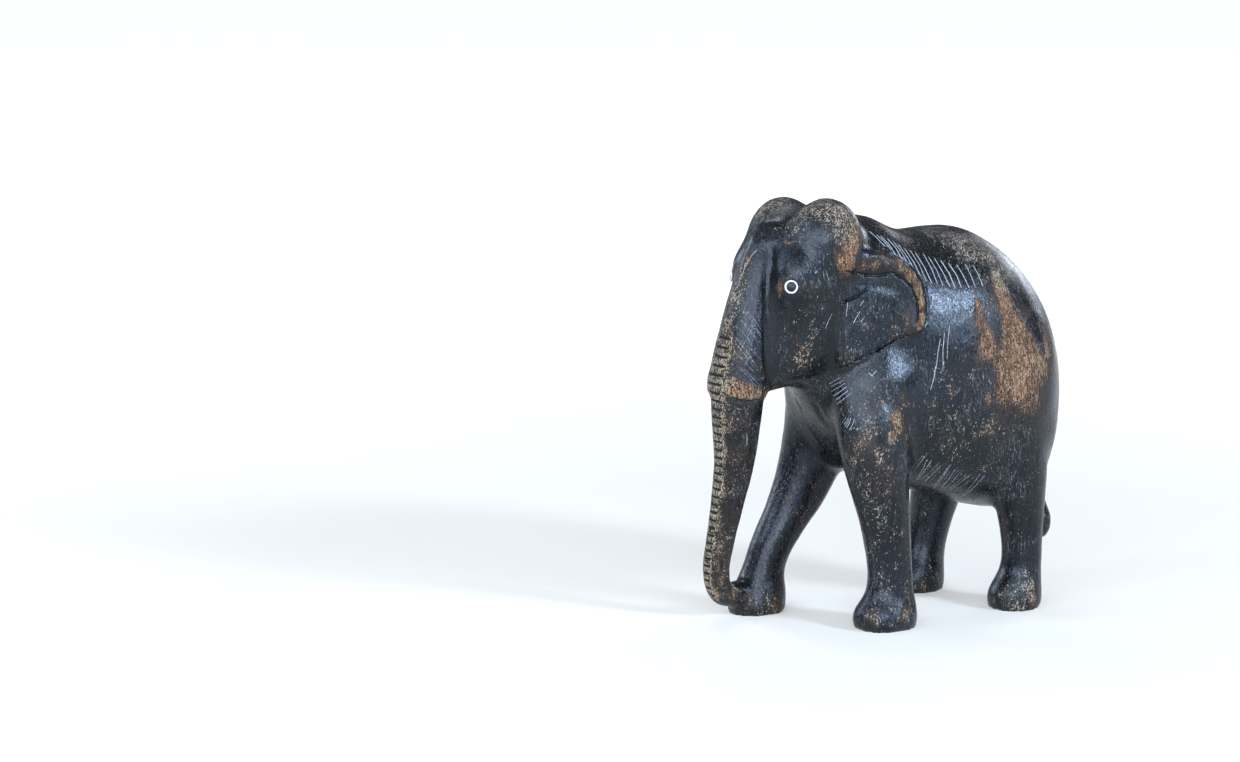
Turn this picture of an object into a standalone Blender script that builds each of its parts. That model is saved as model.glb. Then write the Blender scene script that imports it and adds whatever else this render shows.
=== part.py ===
# A carved elephant of black-stained wood, striding, with its trunk hung down on its right fore foot.
# It faces -Y, its left side is +X and it stands on Z = 0. Units are metres.

import math

import bmesh
import bpy
import numpy as np
from mathutils import Matrix, Vector
from mathutils.bvhtree import BVHTree

# Driving sizes.
STATUE_HEIGHT = 0.156
EYE_RING_OUTER_DIAMETER = 0.0048
EYE_RING_WALL = 0.0007
EYE_RING_LENGTH = 0.0020
EYE_RING_PROUD = 0.0003
EYE_RING_GAP = 0.0003
TRUNK_NOTCH_COUNT = 33
TRUNK_NOTCH_WIDTH = 0.0010
TRUNK_NOTCH_DEPTH = 0.0007
EAR_FOLD_WIDTH = 0.0012
EAR_FOLD_DEPTH = 0.0012

# The figure is laid out on a height of 156 parts, so a part is a millimetre at this size.
PARTS_HIGH = 156.0
PART = STATUE_HEIGHT / PARTS_HIGH

# Modelling grain, in parts: the voxel and the smoothing passes of each merge, masses first.
MASS_GRAIN = (2.4, 10)
LIMB_GRAIN = (1.1, 7)
DETAIL_GRAIN = (0.8, 2)
KEPT_TRIANGLES = 7600
UPPER_LEG_FROM = 44.0
CREASE_ANGLE = math.radians(50)

RING_POINTS = 40
EYE_RING_POINTS = 28

# Torso stations, chest to rump, in parts: y, top z, bottom z, half width.
TORSO = (
    (-38.0, 108.0, 92.0, 5.0),
    (-34.0, 118.0, 84.0, 10.0),
    (-29.0, 130.0, 77.0, 15.0),
    (-23.0, 141.0, 67.5, 19.5),
    (-15.0, 147.5, 55.5, 23.4),
    (-7.0, 147.5, 51.0, 26.2),
    (1.0, 143.5, 48.0, 28.6),
    (10.0, 140.8, 45.5, 30.7),
    (22.0, 141.6, 42.0, 32.2),
    (36.0, 140.6, 37.4, 32.5),
    (52.0, 131.4, 35.0, 31.0),
    (63.0, 120.0, 42.0, 26.5),
    (70.5, 106.5, 56.0, 18.5),
    (74.5, 92.5, 71.0, 8.0),
)
WIDEST_AT = 0.44
UPPER_FULLNESS = 2.25
LOWER_FULLNESS = 2.7

# Head stations, jaw to crown, in parts: z, centre y, half length, half width.
HEAD = (
    (87.5, -44.0, 5.0, 6.5),
    (90.0, -42.5, 9.5, 10.5),
    (94.0, -40.0, 13.0, 14.5),
    (100.0, -37.5, 15.2, 17.2),
    (110.0, -35.5, 17.0, 19.3),
    (120.0, -34.0, 18.3, 21.0),
    (130.0, -33.0, 19.0, 22.3),
    (138.0, -32.0, 18.0, 21.8),
    (145.0, -31.5, 15.0, 18.0),
    (150.0, -31.5, 9.5, 12.0),
)
HEAD_FULLNESS = 2.6
LEG_FULLNESS = 2.0

# Trunk stations, forehead to tip, in parts: x, y, z, half width across, half depth fore and aft.
UPPER_TRUNK = (
    (0.0, -44.5, 146.5, 3.5, 4.0),
    (0.0, -48.3, 139.5, 5.5, 6.0),
    (0.0, -51.3, 128.0, 8.0, 8.0),
    (0.0, -54.5, 114.0, 10.0, 9.0),
    (0.0, -57.6, 100.0, 11.2, 9.8),
    (-0.3, -59.2, 91.0, 11.3, 10.0),
    (-0.8, -59.2, 87.5, 11.0, 9.9),
)
LOWER_TRUNK = (
    (-0.3, -58.5, 95.0, 8.5, 9.0),
    (-1.2, -58.8, 85.0, 9.6, 9.4),
    (-4.0, -57.4, 75.0, 8.8, 8.9),
    (-8.0, -55.6, 60.0, 7.4, 7.4),
    (-12.0, -55.7, 45.0, 6.2, 6.2),
    (-15.0, -56.4, 32.0, 5.4, 5.4),
    (-17.0, -57.3, 20.0, 5.1, 5.0),
    (-18.0, -55.6, 11.5, 4.9, 4.7),
    (-19.0, -50.5, 8.0, 4.6, 4.4),
    (-20.0, -44.5, 10.5, 3.9, 3.7),
)
TRUNK_COLLAR = (
    (-0.2, -58.6, 95.5, 10.6, 9.4),
    (-0.4, -59.2, 90.5, 12.0, 10.5),
    (-0.8, -59.2, 85.8, 11.8, 10.3),
)
NOTCH_TOP_Z = 107.0
NOTCH_BOTTOM_Z = 9.5
NOTCH_SHARE_OF_WIDTH = 0.42
NOTCH_CROWDING = 0.08

# Leg stations, hip to sole, in parts: z, centre x, centre y, half width, half length.
FORE_LEFT_LEG = (
    (106.0, 8.0, -6.0, 5.0, 7.0),
    (100.0, 11.0, -8.0, 9.0, 12.0),
    (92.0, 14.5, -11.0, 11.5, 16.5),
    (78.0, 18.8, -14.0, 11.8, 15.3),
    (64.0, 21.3, -15.0, 11.0, 13.3),
    (50.0, 22.0, -13.0, 10.0, 11.0),
    (36.0, 22.0, -10.2, 8.8, 9.2),
    (22.0, 22.0, -8.2, 7.8, 8.4),
    (13.0, 22.0, -8.0, 8.2, 9.0),
    (6.0, 22.0, -9.8, 10.2, 12.2),
    (2.0, 22.0, -10.0, 10.4, 12.4),
    (-3.0, 22.0, -9.5, 9.0, 11.0),
)
FORE_RIGHT_LEG = (
    (106.0, -8.0, -4.0, 5.0, 7.0),
    (100.0, -11.0, -5.0, 9.0, 12.0),
    (92.0, -14.5, -8.0, 11.5, 16.5),
    (78.0, -18.5, -9.5, 11.5, 15.0),
    (64.0, -21.0, -10.8, 10.6, 13.7),
    (50.0, -21.8, -14.5, 10.0, 12.6),
    (38.0, -22.0, -20.5, 8.8, 11.2),
    (27.0, -22.0, -28.0, 8.0, 9.4),
    (16.0, -22.0, -33.5, 7.6, 8.2),
    (7.0, -22.0, -35.5, 9.4, 10.6),
    (2.0, -22.0, -36.5, 9.9, 11.4),
    (-3.0, -22.0, -36.2, 8.8, 10.4),
)
HIND_LEFT_LEG = (
    (104.0, 8.0, 42.0, 9.0, 14.0),
    (84.0, 14.5, 45.0, 14.0, 20.5),
    (66.0, 18.8, 47.2, 12.5, 15.5),
    (50.0, 20.7, 49.6, 10.4, 11.6),
    (38.0, 20.9, 51.3, 8.8, 9.4),
    (26.0, 21.0, 52.3, 7.7, 7.8),
    (15.0, 21.0, 52.3, 7.7, 7.7),
    (7.0, 21.0, 49.8, 9.3, 10.2),
    (2.0, 21.0, 49.5, 9.5, 10.5),
    (-3.0, 21.0, 49.6, 8.5, 9.4),
)
HIND_RIGHT_LEG = (
    (104.0, -8.0, 42.0, 9.0, 14.0),
    (84.0, -14.5, 45.5, 14.0, 21.5),
    (66.0, -18.8, 47.5, 12.5, 17.5),
    (50.0, -20.6, 46.7, 10.5, 13.6),
    (38.0, -20.8, 44.5, 9.2, 10.8),
    (26.0, -21.0, 41.5, 8.0, 8.8),
    (15.0, -21.0, 38.5, 7.8, 8.4),
    (7.0, -21.0, 36.0, 9.5, 10.7),
    (2.0, -21.0, 35.4, 9.7, 11.2),
    (-3.0, -21.0, 35.8, 8.6, 10.0),
)

# Rounded masses, in parts: centre, radii. Those of PAIRED_MASSES are made on both sides.
LEFT_DOME = ((12.8, -31.2, 139.0), (13.2, 14.0, 17.2))
RIGHT_DOME = ((-12.8, -32.2, 137.6), (13.0, 14.0, 16.8))
NECK = ((0.0, -14.0, 117.0), (24.0, 26.0, 27.5))
PAIRED_MASSES = (
    ((15.2, -42.8, 126.5), (7.6, 9.8, 13.0)),
    ((15.0, -8.0, 84.0), (15.0, 20.0, 24.0)),
    ((16.0, 43.0, 84.0), (18.0, 25.5, 37.0)),
)
LOWER_LIP = ((0.0, -46.5, 90.0), (6.5, 6.5, 4.0))

# Ear rim stations, root to tip, in parts: y, z, half width along the ear's face, half depth.
EAR_RIM = (
    (-29.0, 134.2, 3.2, 2.4),
    (-23.0, 134.0, 4.0, 2.9),
    (-17.6, 133.6, 3.9, 2.9),
    (-12.4, 132.6, 3.4, 2.7),
    (-7.5, 130.9, 2.9, 2.5),
    (-3.8, 127.3, 2.6, 2.3),
    (-1.6, 122.3, 2.4, 2.1),
    (-0.7, 116.9, 1.9, 2.0),
    (-0.9, 111.3, 1.6, 1.8),
    (-2.0, 108.2, 1.5, 1.6),
)
EAR_PANEL_EDGE = (
    (-30.0, 133.5),
    (-24.0, 134.5),
    (-17.5, 134.5),
    (-12.4, 133.0),
    (-7.0, 131.0),
    (-3.4, 127.3),
    (-1.3, 122.3),
    (-0.5, 116.9),
    (-0.5, 111.3),
    (-1.0, 107.3),
    (-4.0, 107.0),
    (-9.3, 106.8),
    (-14.4, 104.6),
    (-22.0, 99.5),
    (-29.4, 95.6),
    (-30.8, 100.6),
    (-31.0, 109.6),
    (-31.0, 118.5),
    (-30.6, 127.0),
)
EAR_PANEL_MIDDLE = (-17.0, 118.0)
EAR_PANEL_INNER_X = 12.0
EAR_RIM_PROUD = 0.3
EAR_FRONT_X = 21.5
EAR_FLARE = 8.8
EAR_FLARE_POWER = 0.75
EAR_REACH = 31.5
# From EAR_FLATTER_FROM_Z upward the flare dies away over EAR_FLATTER_OVER, down to EAR_FLARE_LEFT of it.
EAR_FLATTER_FROM_Z = 112.0
EAR_FLATTER_OVER = 26.0
EAR_FLATTER_POWER = 1.5
EAR_FLARE_LEFT = 0.4
# How deep the panel lies under the rim: at its lower edge, and where it has sunk all the way.
EAR_PANEL_SUNK_LOW = 0.5
EAR_PANEL_SUNK_HIGH = 2.0
EAR_PANEL_LOW_Z = 99.0
EAR_PANEL_HIGH_Z = 117.0
EAR_FOLD = ((-31.4, 118.8), (-27.5, 120.2), (-23.7, 122.1), (-20.1, 124.6))

# Tail stations, root to the end of its brush, in parts: x, y, z, half width, half depth.
TAIL = (
    (0.0, 58.0, 120.0, 4.0, 3.2),
    (0.1, 67.0, 114.0, 3.8, 3.2),
    (0.5, 73.3, 104.0, 3.4, 3.2),
    (1.4, 76.2, 91.0, 2.9, 2.9),
    (2.8, 76.2, 78.0, 2.5, 2.7),
    (4.6, 73.8, 64.0, 2.3, 2.5),
    (6.6, 70.6, 52.0, 2.3, 2.5),
    (9.2, 67.8, 43.0, 2.7, 2.7),
    (11.8, 66.0, 36.5, 3.8, 3.8),
    (13.8, 65.2, 31.0, 5.3, 5.3),
    (14.3, 64.9, 26.5, 5.0, 5.0),
    (14.2, 64.8, 23.0, 3.2, 3.2),
)

# The left eye: a point out in front of it in parts, and the way it looks.
EYE_PLACE = (20.0, -50.7, 126.3)
EYE_LOOK = (0.80, -0.58, 0.12)

WOOD_COLOUR = (0.020, 0.023, 0.030, 1.0)
WOOD_ROUGHNESS = 0.42
INLAY_COLOUR = (0.78, 0.78, 0.76, 1.0)
INLAY_ROUGHNESS = 0.35


def clear_scene():
    for item in list(bpy.data.objects):
        bpy.data.objects.remove(item)


def smooth_rows(rows, steps):
    """Rows of numbers, with steps rows to each gap, on a cardinal spline through all of the given ones."""
    keys = np.array(rows, float)
    padded = np.vstack([2 * keys[0] - keys[1], keys, 2 * keys[-1] - keys[-2]])
    made = []
    for i in range(len(keys) - 1):
        a, b, c, d = padded[i : i + 4]
        for step in range(steps):
            t = step / steps
            made.append(
                0.5
                * (2 * b + (c - a) * t + (2 * a - 5 * b + 4 * c - d) * t**2 + (3 * b - a - 3 * c + d) * t**3)
            )
    made.append(keys[-1])
    return made


def loft(rings):
    """A closed mesh through rings of points, with a fan over each end."""
    shape = bmesh.new()
    loops = [[shape.verts.new(Vector(p)) for p in ring] for ring in rings]
    for low, high in zip(loops, loops[1:]):
        for i, corner in enumerate(low):
            j = (i + 1) % len(low)
            shape.faces.new((corner, low[j], high[j], high[i]))
    for ring in (loops[0], loops[-1]):
        centre = shape.verts.new(sum((v.co for v in ring), Vector()) / len(ring))
        for i, corner in enumerate(ring):
            shape.faces.new((corner, ring[(i + 1) % len(ring)], centre))
    bmesh.ops.recalc_face_normals(shape, faces=shape.faces)
    return shape


def in_parts(shape):
    """Brings a shape that was laid out in parts to its real size."""
    bmesh.ops.transform(shape, matrix=Matrix.Scale(PART, 4), verts=shape.verts)
    return shape


def around(count):
    return [2 * math.pi * i / count for i in range(count)]


def swollen(value, fullness):
    """A sine or cosine pushed outward, so that an oval of it fills its corners more."""
    return math.copysign(abs(value) ** (2 / fullness), value)


def torso():
    rings = []
    for y, top, bottom, half_width in smooth_rows(TORSO, 4):
        middle = bottom + (top - bottom) * WIDEST_AT
        ring = []
        for angle in around(RING_POINTS):
            fullness, reach = (UPPER_FULLNESS, top - middle)
            if angle > math.pi:
                fullness, reach = (LOWER_FULLNESS, middle - bottom)
            x = half_width * swollen(math.cos(angle), fullness)
            ring.append((x, y, middle + reach * swollen(math.sin(angle), fullness)))
        rings.append(ring)
    return in_parts(loft(rings))


def level_loft(rows, fullness):
    """Level oval rings joined into one shape: z, centre x, centre y, half width, half length."""
    rings = []
    for z, x, y, half_width, half_length in smooth_rows(rows, 4):
        ring = []
        for angle in around(RING_POINTS):
            across = half_width * swollen(math.cos(angle), fullness)
            ring.append((x + across, y + half_length * swollen(math.sin(angle), fullness), z))
        rings.append(ring)
    return in_parts(loft(rings))


def head():
    rows = [(z, 0.0, y, half_width, half_length) for z, y, half_length, half_width in HEAD]
    return level_loft(rows, HEAD_FULLNESS)


def leg(rows):
    return level_loft(rows, LEG_FULLNESS)


def tube(stations, first_way):
    """Oval rings square to a path: x, y, z, half size along first_way, half size across it."""
    rings = []
    for i, (x, y, z, half_first, half_second) in enumerate(stations):
        before = Vector(stations[max(i - 1, 0)][:3])
        after = Vector(stations[min(i + 1, len(stations) - 1)][:3])
        along = (after - before).normalized()
        first = (Vector(first_way) - along * along.dot(first_way)).normalized()
        second = along.cross(first)
        ring = []
        for angle in around(RING_POINTS):
            offset = first * half_first * math.cos(angle) + second * half_second * math.sin(angle)
            ring.append(Vector((x, y, z)) + offset)
        rings.append(ring)
    return in_parts(loft(rings))


def limb(rows):
    return tube(smooth_rows(rows, 5), (1, 0, 0))


def ball(centre, radii):
    shape = bmesh.new()
    bmesh.ops.create_uvsphere(shape, u_segments=32, v_segments=20, radius=1.0)
    place = Matrix.Translation(centre) @ Matrix.Diagonal((*radii, 1.0))
    bmesh.ops.transform(shape, matrix=place, verts=shape.verts)
    return in_parts(shape)


def ramp(value, start, end):
    share = min(max((value - start) / (end - start), 0.0), 1.0)
    return share * share * (3 - 2 * share)


def ear_face(y, z):
    """How far out the ear's face lies, in parts: it flares backward, and less so near its top."""
    back = max((y + EAR_REACH) / EAR_REACH, 0.0)
    high = min(max((z - EAR_FLATTER_FROM_Z) / EAR_FLATTER_OVER, 0.0), 1.0)
    flatter = (1 - EAR_FLARE_LEFT) * high**EAR_FLATTER_POWER
    return EAR_FRONT_X + EAR_FLARE * back**EAR_FLARE_POWER * (1 - flatter)


def ear_rim(side):
    rows = smooth_rows(EAR_RIM, 5)
    stations = []
    for y, z, half_width, half_depth in rows:
        x = ear_face(y, z) + EAR_RIM_PROUD - half_depth
        stations.append((side * x, y, z, half_depth, half_width))
    return tube(stations, (1, 0, 0))


def ear_panel(side):
    """A plate let into the neck, with its face sunk under the rim and level with its lower edge."""
    middle = Vector(EAR_PANEL_MIDDLE)
    edge = [Vector(p) for p in EAR_PANEL_EDGE]
    rings = [[(side * EAR_PANEL_INNER_X, p.x, p.y) for p in edge]]
    for share in (1.0, 0.8, 0.6, 0.4, 0.2):
        ring = []
        for corner in edge:
            p = middle.lerp(corner, share)
            share_up = ramp(p.y, EAR_PANEL_LOW_Z, EAR_PANEL_HIGH_Z)
            sunk = EAR_PANEL_SUNK_LOW + (EAR_PANEL_SUNK_HIGH - EAR_PANEL_SUNK_LOW) * share_up
            ring.append((side * (ear_face(p.x, p.y) - sunk), p.x, p.y))
        rings.append(ring)
    return in_parts(loft(rings))


def joined(name, shapes):
    """One object that holds all these closed shapes, which may overlap."""
    mesh = bpy.data.meshes.new(name)
    whole = bmesh.new()
    for shape in shapes:
        shape.to_mesh(mesh)
        whole.from_mesh(mesh)
        shape.free()
    whole.to_mesh(mesh)
    whole.free()
    made = bpy.data.objects.new(name, mesh)
    bpy.context.scene.collection.objects.link(made)
    return made


def freeze(item):
    graph = bpy.context.evaluated_depsgraph_get()
    item.data = bpy.data.meshes.new_from_object(item.evaluated_get(graph))
    item.modifiers.clear()


def merged(name, shapes, grain):
    """One closed skin round all of the shapes, softened where they meet."""
    item = joined(name, shapes)
    voxel, passes = grain
    remesh = item.modifiers.new("Merge", "REMESH")
    remesh.mode = "VOXEL"
    remesh.voxel_size = voxel * PART
    soften = item.modifiers.new("Soften", "SMOOTH")
    soften.factor = 0.5
    soften.iterations = round(passes)
    freeze(item)
    return item


def taken(item):
    """The item's mesh as a shape, with the item itself removed."""
    shape = bmesh.new()
    shape.from_mesh(item.data)
    bpy.data.objects.remove(item)
    return shape


def build_body():
    """The masses flow into each other first, the limbs are set into them, and the details go on last."""
    legs = (FORE_LEFT_LEG, FORE_RIGHT_LEG, HIND_LEFT_LEG, HIND_RIGHT_LEG)
    shapes = [torso(), head(), ball(*NECK), ball(*LEFT_DOME), ball(*RIGHT_DOME)]
    shapes += [leg([row for row in rows if row[0] > UPPER_LEG_FROM]) for rows in legs]
    for (x, y, z), radii in PAIRED_MASSES:
        shapes += [ball((x, y, z), radii), ball((-x, y, z), radii)]
    masses = merged("masses", shapes, MASS_GRAIN)
    shapes = [taken(masses), limb(UPPER_TRUNK), limb(LOWER_TRUNK), limb(TAIL), ball(*LOWER_LIP)]
    shapes += [leg(rows) for rows in legs]
    figure = merged("figure", shapes, LIMB_GRAIN)
    shapes = [taken(figure), limb(TRUNK_COLLAR)]
    for side in (1, -1):
        shapes += [ear_rim(side), ear_panel(side)]
    body = merged("elephant", shapes, DETAIL_GRAIN)
    thin = body.modifiers.new("Thin", "DECIMATE")
    thin.ratio = KEPT_TRIANGLES / (2 * len(body.data.polygons))
    freeze(body)
    true_height = STATUE_HEIGHT / max(v.co.z for v in body.data.vertices)
    body.data.transform(Matrix.Scale(true_height, 4))
    return body


def skin_point(skin, start, way):
    """Where a straight look from start along way first meets the skin, and the skin's normal there."""
    place, normal = skin.ray_cast(start, way)[:2]
    return place, normal


def vee(places, outward, sideways, width, depth):
    """A cutter with a V section: as wide as width at the places and pointed depth under them."""
    rings = []
    for place in places:
        top = place + outward * depth
        rings.append([place - outward * depth, top + sideways * width, top - sideways * width])
    return loft(rings)


def trunk_notches(skin):
    rows = np.array(UPPER_TRUNK[:-1] + LOWER_TRUNK[1:-2])[::-1]
    cutters = []
    for i in range(TRUNK_NOTCH_COUNT):
        share = i / (TRUNK_NOTCH_COUNT - 1)
        share = share + NOTCH_CROWDING * share * (1 - share)
        z = NOTCH_TOP_Z + (NOTCH_BOTTOM_Z - NOTCH_TOP_Z) * share
        x = np.interp(z, rows[:, 2], rows[:, 0])
        reach = np.interp(z, rows[:, 2], rows[:, 3]) * NOTCH_SHARE_OF_WIDTH * PART
        place, normal = skin_point(skin, Vector((x * PART, -STATUE_HEIGHT, z * PART)), Vector((0, 1, 0)))
        outward = Vector((0, normal.y, normal.z)).normalized()
        across = Vector((1, 0, 0))
        ends = (place - across * reach, place + across * reach)
        cutters.append(vee(ends, outward, across.cross(outward), TRUNK_NOTCH_WIDTH, TRUNK_NOTCH_DEPTH))
    return cutters


def ear_folds(skin):
    cutters = []
    for side in (1, -1):
        places = []
        for y, z in EAR_FOLD:
            start = Vector((side * STATUE_HEIGHT, y * PART, z * PART))
            places.append(skin_point(skin, start, Vector((-side, 0, 0)))[0])
        run = (places[-1] - places[0]).normalized()
        sideways = run.cross(Vector((side, 0, 0))).normalized()
        cutters.append(vee(places, sideways.cross(run) * side, sideways, EAR_FOLD_WIDTH, EAR_FOLD_DEPTH))
    return cutters


def eye_frame(skin, side):
    """A frame on the eye, Z outward, at the skin's mean level under the ring."""
    look = Vector((side * EYE_LOOK[0], EYE_LOOK[1], EYE_LOOK[2])).normalized()
    turn = look.to_track_quat("Z", "Y").to_matrix().to_4x4()
    x, y, z = EYE_PLACE
    start = Vector((side * x, y, z)) * PART + look * EYE_RING_OUTER_DIAMETER * 2
    radius = (EYE_RING_OUTER_DIAMETER - EYE_RING_WALL) / 2
    falls = []
    for angle in around(EYE_RING_POINTS):
        corner = turn @ Vector((radius * math.cos(angle), radius * math.sin(angle), 0))
        place = skin_point(skin, start + corner, -look)[0]
        falls.append((start + corner - place).length)
    return Matrix.Translation(start - look * sum(falls) / len(falls)) @ turn


def sleeve(inner, outer, low, high, frame):
    """A short pipe with its axis along Z of the frame."""
    shape = bmesh.new()
    loops = []
    for radius, height in ((inner, low), (outer, low), (outer, high), (inner, high)):
        ring = [(radius * math.cos(a), radius * math.sin(a), height) for a in around(EYE_RING_POINTS)]
        loops.append([shape.verts.new(frame @ Vector(p)) for p in ring])
    for first, second in zip(loops, loops[1:] + loops[:1]):
        for i, corner in enumerate(first):
            j = (i + 1) % EYE_RING_POINTS
            shape.faces.new((corner, first[j], second[j], second[i]))
    bmesh.ops.recalc_face_normals(shape, faces=shape.faces)
    return shape


def floor_slab():
    """A cutter under Z = 0, so that the soles are flat."""
    shape = bmesh.new()
    bmesh.ops.create_cube(shape, size=1.0)
    place = Matrix.Translation((0, 0, -STATUE_HEIGHT / 8)) @ Matrix.Diagonal(
        (STATUE_HEIGHT * 2, STATUE_HEIGHT * 2, STATUE_HEIGHT / 4, 1.0)
    )
    bmesh.ops.transform(shape, matrix=place, verts=shape.verts)
    return shape


def carve(body, shapes):
    cutter = joined("cutter", shapes)
    cut = body.modifiers.new("Carve", "BOOLEAN")
    cut.operation = "DIFFERENCE"
    cut.solver = "EXACT"
    cut.object = cutter
    freeze(body)
    bpy.data.objects.remove(cutter)


def material(name, colour, roughness, metallic):
    made = bpy.data.materials.new(name)
    made.use_nodes = True
    shader = made.node_tree.nodes["Principled BSDF"]
    shader.inputs["Base Color"].default_value = colour
    shader.inputs["Roughness"].default_value = roughness
    shader.inputs["Metallic"].default_value = metallic
    made.diffuse_color = colour
    return made


def finish(item, slot):
    """Smooth shading with the carved corners kept sharp, and one material."""
    shape = bmesh.new()
    shape.from_mesh(item.data)
    for face in shape.faces:
        face.smooth = True
    for edge in shape.edges:
        edge.smooth = edge.calc_face_angle(0.0) < CREASE_ANGLE
    shape.to_mesh(item.data)
    shape.free()
    item.data.materials.clear()
    item.data.materials.append(slot)


def centre_over_origin(items):
    """Moves the pieces together, so that the middle of the elephant's box stands over the origin."""
    corners = np.array([v.co[:2] for v in items[0].data.vertices])
    middle = (corners.min(axis=0) + corners.max(axis=0)) / 2
    for item in items:
        item.data.transform(Matrix.Translation((-middle[0], -middle[1], 0)))


def main():
    clear_scene()
    body = build_body()
    skin = BVHTree.FromObject(body, bpy.context.evaluated_depsgraph_get())
    outer = EYE_RING_OUTER_DIAMETER / 2
    inner = outer - EYE_RING_WALL
    bottom = EYE_RING_PROUD - EYE_RING_LENGTH
    cutters = [floor_slab()] + trunk_notches(skin) + ear_folds(skin)
    rings = []
    for side, name in ((1, "eye_ring_left"), (-1, "eye_ring_right")):
        frame = eye_frame(skin, side)
        groove = (inner - EYE_RING_GAP, outer + EYE_RING_GAP, bottom - EYE_RING_GAP, EYE_RING_LENGTH)
        cutters.append(sleeve(*groove, frame))
        rings.append(joined(name, [sleeve(inner, outer, bottom, EYE_RING_PROUD, frame)]))
    carve(body, cutters)
    finish(body, material("ebonised_wood", WOOD_COLOUR, WOOD_ROUGHNESS, 0.0))
    inlay = material("eye_inlay", INLAY_COLOUR, INLAY_ROUGHNESS, 1.0)
    for ring in rings:
        finish(ring, inlay)
    centre_over_origin([body] + rings)


main()
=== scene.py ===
# Wooden elephant statue: its worn black finish, carved lines and inlaid eyes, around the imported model.
import math
import random

import bpy
import numpy as np
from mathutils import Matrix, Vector
from mathutils.bvhtree import BVHTree


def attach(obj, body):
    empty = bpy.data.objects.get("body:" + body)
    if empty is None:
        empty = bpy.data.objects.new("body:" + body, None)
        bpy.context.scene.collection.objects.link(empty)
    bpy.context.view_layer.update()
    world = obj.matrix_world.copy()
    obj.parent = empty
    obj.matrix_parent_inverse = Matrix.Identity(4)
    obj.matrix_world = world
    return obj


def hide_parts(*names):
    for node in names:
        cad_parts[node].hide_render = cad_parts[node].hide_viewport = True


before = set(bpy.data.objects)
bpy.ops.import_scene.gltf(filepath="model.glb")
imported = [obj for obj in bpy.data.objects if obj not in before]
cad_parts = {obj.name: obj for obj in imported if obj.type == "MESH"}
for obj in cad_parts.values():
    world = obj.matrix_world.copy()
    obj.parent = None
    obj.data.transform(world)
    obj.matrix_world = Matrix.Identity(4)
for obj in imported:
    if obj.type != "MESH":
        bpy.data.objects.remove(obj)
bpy.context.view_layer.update()        # one carved body, "elephant", and two eye rings

mm = 0.001               # lengths below that say mm are turned to metres with this
photoWidth, photoHeight = 1240, 762   # the frame that every pixel place below belongs to


# Small helpers for selecting, applying and reading meshes

def onlyPick(piece):
    bpy.ops.object.select_all(action="DESELECT")
    piece.select_set(True)
    bpy.context.view_layer.objects.active = piece


def applyModifier(piece, kind, **settings):
    onlyPick(piece)
    modifier = piece.modifiers.new(kind.lower(), kind)
    for name, value in settings.items():
        setattr(modifier, name, value)
    bpy.ops.object.modifier_apply(modifier=modifier.name)


def readPoints(piece):
    points = np.empty(len(piece.data.vertices) * 3)
    piece.data.vertices.foreach_get("co", points)
    return points.reshape(-1, 3)


def readNormals(piece):
    normals = np.empty(len(piece.data.vertices) * 3)
    piece.data.vertices.foreach_get("normal", normals)
    return normals.reshape(-1, 3)


def writePoints(piece, points):
    piece.data.vertices.foreach_set("co", points.astype(np.float32).ravel())
    piece.data.update()


def faceCentres(piece):
    centres = np.empty(len(piece.data.polygons) * 3)
    piece.data.polygons.foreach_get("center", centres)
    return centres.reshape(-1, 3)


def storeField(piece, name, values):
    # a number for each point of the mesh, which the material reads back by its name
    attribute = piece.data.attributes.new(name, "FLOAT", "POINT")
    attribute.data.foreach_set("value", np.clip(values, -1, 1).astype(np.float32))


def neighbourMean(piece, values):
    # the average of each point's neighbours along the mesh's edges
    ends = np.empty(len(piece.data.edges) * 2, dtype=np.int64)
    piece.data.edges.foreach_get("vertices", ends)
    a, b = ends.reshape(-1, 2).T
    count = np.bincount(np.concatenate((a, b)), minlength=len(values)).astype(float)
    total = np.zeros_like(values)
    np.add.at(total, a, values[b])
    np.add.at(total, b, values[a])
    return total / np.maximum(count, 1)[:, None]


def soften(piece, values, rounds):
    # each point's values drawn half way to its neighbours' average, some rounds over
    for k in range(rounds):
        values = 0.5 * values + 0.5 * neighbourMean(piece, values)
    return values


# The camera stands where the photograph was taken from

view = {
    "place": (0.8777, -0.6325, 0.2616),       # metres
    "lookAt": (-0.0566, -0.0795, 0.0843),     # a point on the middle of the picture
    "lens": 86.6,                             # mm, on a 36 mm wide sensor
    "sensor": 36.0,
}


def makeCamera():
    bpy.ops.object.camera_add(location=view["place"])
    camera = bpy.context.object
    camera.name = "photo_camera"
    gaze = Vector(view["lookAt"]) - Vector(view["place"])
    camera.rotation_euler = gaze.to_track_quat("-Z", "Y").to_euler()
    camera.data.sensor_width = view["sensor"]
    camera.data.lens = view["lens"]
    camera.data.clip_start, camera.data.clip_end = 0.01, 20
    bpy.context.scene.camera = camera
    bpy.context.view_layer.update()
    return camera


def onSkin(px, py):
    # the point of the carving that shows at this pixel of the photograph
    focal = view["lens"] / view["sensor"] * photoWidth
    ray = Vector(((px - photoWidth / 2) / focal, (photoHeight / 2 - py) / focal, -1)).normalized()
    ray.rotate(camera.matrix_world.to_quaternion())
    hit = skin.ray_cast(camera.matrix_world.translation, ray)[0]
    if hit is None:
        raise ValueError(f"no wood at pixel {px}, {py}")
    return hit


def otherSide(point):
    # the matching place on the carving's right side
    return skin.find_nearest(Vector((-point[0], point[1], point[2])))[0]


# The carved body: a finer skin over the solid's form

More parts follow.
